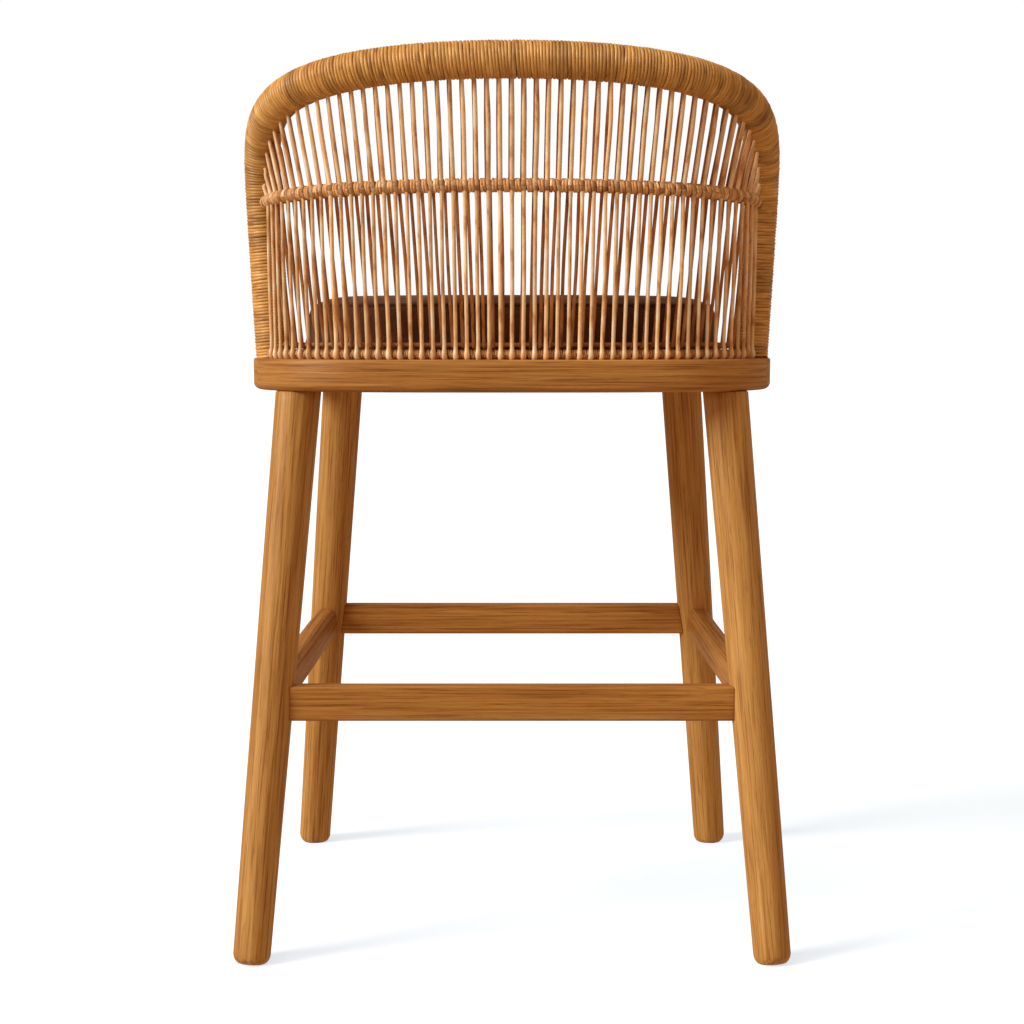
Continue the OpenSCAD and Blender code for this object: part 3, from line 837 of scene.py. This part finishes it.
def make_rail_winding(name, node, points_at, rail_r, pitch, fat, thin, thin_count, painted_light_level):
    """Rings round a rail: one fat loop at each strand and thin turns between."""
    build = Builder()
    reach = HOOP_RUN - HOOP_R - 0.001
    free = pitch - 2 * fat
    for k in range(-SIDE_STRANDS - 1, SIDE_STRANDS + 2):
        if abs(k) <= SIDE_STRANDS and abs(k * pitch) < reach:
            half_w = fat * rng.uniform(0.92, 1.1)
            add_ring(build, rail_frames(points_at, k * pitch), rail_r - LOOP_SINK, half_w, LOOP_T,
                     rng.gauss(0.0007, 0.0004), rng.uniform(-0.4, 0.4),
                     painted_light_level * rng.uniform(0.1, 0.4), 28)
        for j in range(thin_count):
            s = k * pitch + fat + free * (j + 0.5) / thin_count
            if abs(s) < reach:
                half_w = thin * rng.uniform(0.92, 1.08)
                add_ring(build, rail_frames(points_at, s), rail_r - WINDING_T + TURN_SINK, half_w,
                         TURN_T, rng.gauss(0.0004, 0.0004), 0.0, painted_light_level * rng.uniform(0.8, 1.0), 24)
    settle(build.object(name, RATTAN_RAIL), "rattan_winding", node)


def make_cane(name, node, points_at, radius):
    """A bare cane with faint nodes where its leaves grew."""
    build = Builder()
    reach = HOOP_RUN - HOOP_R - 0.0006
    s = np.linspace(-reach, reach, 161)
    node_gap, node_half = 0.16, 0.0025
    from_node = (s + 0.03) % node_gap - node_gap / 2
    swelling = 0.07 * radius * (np.exp(-(from_node / node_half) ** 2) - 1)
    add_strand(build, points_at(s), radius + swelling, 0.45, sides=14)
    # The rod takes the darker rattan copy, painted shade.
    settle(build.object(name, RATTAN_PAINTED_SHADE), "rattan_cane", node)


def rod_points(s):
    """Points of the thin inner rod at signed running lengths s."""
    return back_points(s, ROD_Z, ROD_PUSH)


# ----------------------------------------------------------------- strands

def wobble(size):
    """A small random step sideways."""
    return np.array([rng.gauss(0, size), rng.gauss(0, size), 0])


def outer_strand(build, k):
    """From under the bottom rail, up its outer face, over the middle rail to the hoop."""
    c0 = back_points(k * PITCH_BOTTOM, BOTTOM_Z, BOTTOM_PUSH)
    c1 = middle_points(k * PITCH_MIDDLE)
    c2 = hoop_points(top_run(k))[0]
    out0 = outward(c0)
    wrap = BOTTOM_R - WINDING_T + 0.0026
    d = unit_rows(c1 - c0)
    start = c0 + out0 * wrap
    middle = c1 + outward(c1) * OUTER_AT_RAIL
    end = c2 + outward(c2) * OUTER_AT_HOOP
    bend = wobble(0.0003)
    lean = unit_rows(end - middle)
    points = [
        c0 - UP * (wrap - 0.001) * 0.80 + out0 * 0.0005,
        c0 - UP * wrap * 0.55 + out0 * wrap * 0.80,
        start + d * 0.0005,
        start + d * 0.006 - out0 * 0.0008,
        start + (middle - start) * 0.12 - out0 * 0.0010,
        start + (middle - start) * 0.5 + bend,
        start + (middle - start) * 0.92,
        middle,
        middle + (end - middle) * 0.10,
        middle + (end - middle) * 0.5 + wobble(0.0004),
        end - lean * 0.024,
        end - lean * 0.006,
    ]
    path = smooth_path(points)
    z = path[:, 2]
    flare = np.exp(-((z - (BOTTOM_Z - 0.001)) / 0.0055) ** 2)
    radius = STRAND_R * (1 + LOOP_SWELL * flare) * rng.uniform(0.94, 1.06)
    # the cane narrows where it dives under the hoop
    near_top = np.clip((np.linalg.norm(path - end, axis=1) - 0.016) / 0.03, 0, 1)
    thick = np.where(z > MIDDLE_Z - MIDDLE_DROP, 1.24, 1.04)
    radius *= (0.78 + 0.22 * near_top) * thick
    add_strand(build, path, radius, rng.uniform(0.35, 0.95))


def inner_strand(build, k):
    """From the inner rod up the inside of the middle rail to the hoop."""
    lean_in = max(-1.0, min(1.0, k / 3)) * -INNER_LEAN
    c0 = back_points(k * PITCH_BOTTOM + lean_in, ROD_Z, ROD_PUSH)
    out0 = outward(c0)
    # above the rail the inner strand runs beside the outer one, further out at the
    # sides, and below it nearer the middle of the back; the loops hide the step
    face = outward(middle_points(k * PITCH_MIDDLE))
    level = max(-0.004, min(0.004, 0.0052 * face[0] / max(0.2, face[1])))
    c1 = middle_points(k * PITCH_MIDDLE + PAIR_SHIFT + level)
    low1 = middle_points(k * PITCH_MIDDLE + lean_in * 0.4)
    c2 = hoop_points(top_run(k) + 0.0014 + level * 0.6)[0]
    wrap = ROD_R + 0.0014
    start = c0 + out0 * wrap
    middle = c1 - outward(c1) * INNER_AT_RAIL + UP * STEP_RISE
    below = low1 - outward(low1) * INNER_AT_RAIL - UP * STEP_RISE
    end = c2 - outward(c2) * INNER_AT_HOOP
    lean = unit_rows(end - middle)
    points = [
        c0 - UP * wrap * 0.9 - out0 * 0.0006,
        c0 - UP * wrap * 0.5 + out0 * wrap * 0.8,
        start + UP * 0.001,
        start + (below - start) * 0.08,
        start + (below - start) * 0.5 + wobble(0.0005),
        start + (below - start) * 0.94,
        below,
        middle,
        middle + (end - middle) * 0.08,
        middle + (end - middle) * 0.5 + wobble(0.0004),
        end - lean * 0.03,
        end - lean * 0.008,
    ]
    path = smooth_path(points)
    # The inner strands draw tones from a lower range than the outer strands, a further painted
    # shade.
    add_strand(build, path, STRAND_R * rng.uniform(0.9, 1.0), rng.uniform(0.15, 0.7))


def make_strands():
    """Three groups of strands in each of two layers."""
    groups = (("left", range(SIDE_FROM, SIDE_STRANDS + 1)),
              ("rear", range(1 - SIDE_FROM, SIDE_FROM)),
              ("right", range(-SIDE_STRANDS, 1 - SIDE_FROM)))
    for name, numbers in groups:
        outer, inner = Builder(), Builder()
        for k in numbers:
            outer_strand(outer, k)
            inner_strand(inner, k)
        # Outer strands take the paler rattan copy as painted light, inner strands the darker copy as
        # painted shade.
        settle(outer.object(f"woven_outer_{name}", RATTAN_PAINTED_LIT), "rattan_strands",
               f"outer_strands_{name}")
        settle(inner.object(f"woven_inner_{name}", RATTAN_PAINTED_SHADE), "rattan_strands",
               f"inner_strands_{name}")


# ------------------------------------------------------------------ cushion

def cushion_outline(inset, t):
    return outline(CUSHION_HIGH.x - inset, CUSHION_HIGH.y - inset, t)


def cushion_shape():
    """Boxed cushion, smaller than its place by the room that it needs to swell."""
    build = Builder()
    low = CUSHION_LOW.z + 0.001
    height = CUSHION_HIGH.z - CROWN_ROOM - low
    profile = [(0.030, 0.0), (0.008, 0.0), (0.002, 0.06), (0.0, 0.2), (0.0, 0.45), (0.0, 0.72),
               (0.001, 0.86), (0.004, 0.95), (0.012, 1.0), (0.04, 1.02), (0.09, 1.04), (0.15, 1.05)]
    t = np.linspace(0, 2 * math.pi, 120, endpoint=False)[::-1]
    rows = []
    for inset, share in profile:
        x, y = cushion_outline(CUSHION_GAP + inset, t)
        rows.append(np.stack([x, y, np.full(len(t), low + share * height)], -1))
    rows = np.array(rows)
    build.grid(rows, rows, 0.5)
    return build.object("cushion_cover", BROWN_CLOTH)


def evaluated_mesh(obj):
    """A copy of the object's mesh with its modifiers applied."""
    deps = bpy.context.evaluated_depsgraph_get()
    return bpy.data.meshes.new_from_object(obj.evaluated_get(deps))


def vertex_places(mesh):
    places = np.empty(len(mesh.vertices) * 3)
    mesh.vertices.foreach_get("co", places)
    return places.reshape(-1, 3)


def inflate(obj):
    """Where the cloth simulation takes each vertex, with the base held by the seat."""
    cloth = obj.modifiers.new("cloth", "CLOTH")
    cloth.settings.use_pressure = True
    cloth.settings.uniform_pressure_force = 4.0
    cloth.settings.effector_weights.gravity = 0.0
    cloth.settings.vertex_group_mass = "held"
    cloth.settings.quality = 5
    cloth.point_cache.frame_start = 1
    cloth.point_cache.frame_end = SETTLE_FRAMES
    scene = bpy.context.scene
    for number in range(1, SETTLE_FRAMES + 1):
        scene.frame_set(number)
    deps = bpy.context.evaluated_depsgraph_get()
    places = vertex_places(obj.evaluated_get(deps).data)
    obj.modifiers.clear()
    scene.frame_set(1)
    return places


def swell(obj):
    """Fills the cushion by cloth simulation and keeps it within its place."""
    remesh = obj.modifiers.new("remesh", "REMESH")
    remesh.mode = "VOXEL"
    remesh.voxel_size = REMESH_SIZE
    remesh.use_smooth_shade = True
    mesh = evaluated_mesh(obj)
    obj.modifiers.clear()
    obj.data = mesh
    rest = vertex_places(mesh)
    held = [i for i, p in enumerate(rest) if p[2] < CUSHION_LOW.z + 0.004]
    obj.vertex_groups.new(name="held").add(held, 1.0, "ADD")
    step = inflate(obj) - rest
    length = np.linalg.norm(step, axis=1, keepdims=True)
    step *= np.minimum(1.0, SWELL_CAP / np.maximum(length, 1e-9))
    mesh.vertices.foreach_set("co", (rest + step).ravel())
    mesh.polygons.foreach_set("use_smooth", [True] * len(mesh.polygons))
    mesh.update()
    sub = obj.modifiers.new("soften", "SUBSURF")
    sub.levels = 1
    sub.render_levels = 1
    obj.data = evaluated_mesh(obj)
    obj.modifiers.clear()
    return obj


def add_piping(cover, share, name):
    """Welt round the cushion, laid on the swollen cover at a share of its height."""
    tree = BVHTree.FromObject(cover, bpy.context.evaluated_depsgraph_get())
    z = CUSHION_LOW.z + share * (CUSHION_HIGH.z - CUSHION_LOW.z)
    t = np.linspace(0, 2 * math.pi, 240, endpoint=False)
    x, y = cushion_outline(-0.03, t)
    ring = []
    for px, py in zip(x, y):
        away = Vector((px, py, 0)).normalized()
        hit = tree.ray_cast(Vector((px, py, z)), -away)[0]
        ring.append(np.array(hit if hit else (px, py, z)) + 0.0006 * np.array(away))
    ring = np.array(ring)
    ring = (np.roll(ring, 1, 0) + ring + np.roll(ring, -1, 0)) / 3
    build = Builder()
    tangent = unit_rows(np.roll(ring, -1, 0) - np.roll(ring, 1, 0))
    n = outward(ring)
    n -= (n * tangent).sum(1, keepdims=True) * tangent
    b = np.cross(tangent, n)
    q = np.linspace(0, 2 * math.pi, 10, endpoint=False)
    across = np.cos(q)[None, :, None] * n[:, None] + np.sin(q)[None, :, None] * b[:, None]
    co = ring[:, None] + PIPING_R * across
    build.loop(co, co, 0.5)
    settle(build.object(name, PIPING), "seat_fabric")


def make_cushion():
    cover = swell(cushion_shape())
    cover.data.materials.clear()
    cover.data.materials.append(BROWN_CLOTH)
    settle(cover, "seat_fabric", "seat_cushion")
    add_piping(cover, 0.80, "cushion_piping_top")
    add_piping(cover, 0.10, "cushion_piping_base")


# ---------------------------------------------------------- carried-over CAD

def dress_cad():
    """Materials for the CAD nodes that show as they are."""
    looks = {
        BIRCH: ["corner_block_rear_left", "corner_block_rear_right", "corner_block_front_left",
                "corner_block_front_right", "rail_dowels", "seat_panel"],
        STEEL: ["block_screws", "panel_screws", "hoop_screws"],
        # The hoop core and rail canes take the darker rattan copy, painted shade.
        RATTAN_PAINTED_SHADE: ["hoop_core", "middle_rail_cane", "bottom_rail_cane"],
    }
    for material, names in looks.items():
        for name in names:
            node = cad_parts[name]
            node.data.materials.clear()
            node.data.materials.append(material)


# ------------------------------------------------------------- stage, camera

def make_top_light():
    """Soft square light above and behind the stool."""
    data = bpy.data.lights.new("top", "AREA")
    data.shape = "RECTANGLE"
    data.size = 1.2
    data.size_y = 1.2
    data.energy = 9
    light = bpy.data.objects.new("top", data)
    light.location = (0.9, 0.9, 3.0)
    way = Vector((0, 0, 0.5)) - light.location
    light.rotation_euler = way.to_track_quat("-Z", "Y").to_euler()
    bpy.context.scene.collection.objects.link(light)


def make_key_light():
    """Low sun from the left of the view."""
    data = bpy.data.lights.new("key", "SUN")
    data.energy = KEY_POWER
    data.angle = math.radians(KEY_SPREAD)
    data.color = (0.97, 1.0, 1.0)
    key = bpy.data.objects.new("key", data)
    key.rotation_euler = Vector(KEY_FROM).to_track_quat("Z", "Y").to_euler()
    bpy.context.scene.collection.objects.link(key)


def make_floor():
    mesh = bpy.data.meshes.new("studio_floor")
    corners = [(x * FLOOR_HALF, y * FLOOR_HALF, 0) for x, y in ((-1, -1), (1, -1), (1, 1), (-1, 1))]
    mesh.from_pydata(corners, [], [(0, 1, 2, 3)])
    floor = bpy.data.objects.new("studio_floor", mesh)
    mesh.materials.append(floor_material())
    bpy.context.scene.collection.objects.link(floor)
    floor.visible_diffuse = False
    floor.visible_glossy = False


def make_backdrop():
    """White to the camera, and warm and dim as a light."""
    world = bpy.data.worlds.new("studio")
    world.use_nodes = True
    g = Graph(world.node_tree)
    backdrop = world.node_tree.nodes["Background"]
    seen = g.put("ShaderNodeLightPath").outputs["Is Camera Ray"]
    g.link(g.mix(seen, AMBIENT, (1.0, 1.0, 1.0)), backdrop.inputs["Color"])
    bpy.context.scene.world = world


def make_camera():
    """Eye level with the seat, behind the stool, looking a little down."""
    data = bpy.data.cameras.new("view_camera")
    data.sensor_width = SENSOR
    data.lens = LENS
    camera = bpy.data.objects.new("view_camera", data)
    camera.location = (0, EYE_DISTANCE, EYE_Z)
    camera.rotation_euler = (math.radians(90 - LOOK_DOWN), 0, math.pi)
    bpy.context.scene.collection.objects.link(camera)
    bpy.context.scene.camera = camera


make_camera()
make_floor()
make_backdrop()
make_key_light()
make_top_light()
for side_x in (1, -1):
    for end_y in (1, -1):
        make_leg(side_x, end_y)
make_stretchers()
make_seat_frame()
make_hoop_winding()
# The bottom rail's rings take 0.3 of the middle rail's tone, darker as painted shade low on the
# back.
make_rail_winding("middle_rail_loops", "middle_rail_winding", middle_points, MIDDLE_R,
                  PITCH_MIDDLE, 0.0028, 0.0016, 2, 1.0)
make_rail_winding("bottom_rail_loops", "bottom_rail_winding", bottom_points, BOTTOM_R,
                  PITCH_BOTTOM, 0.0024, 0.0011, 3, 0.3)
make_cane("inner_rod_cane", "inner_rod", rod_points, ROD_R)
make_strands()
make_cushion()
dress_cad()
bpy.context.scene.view_settings.view_transform = "Standard"
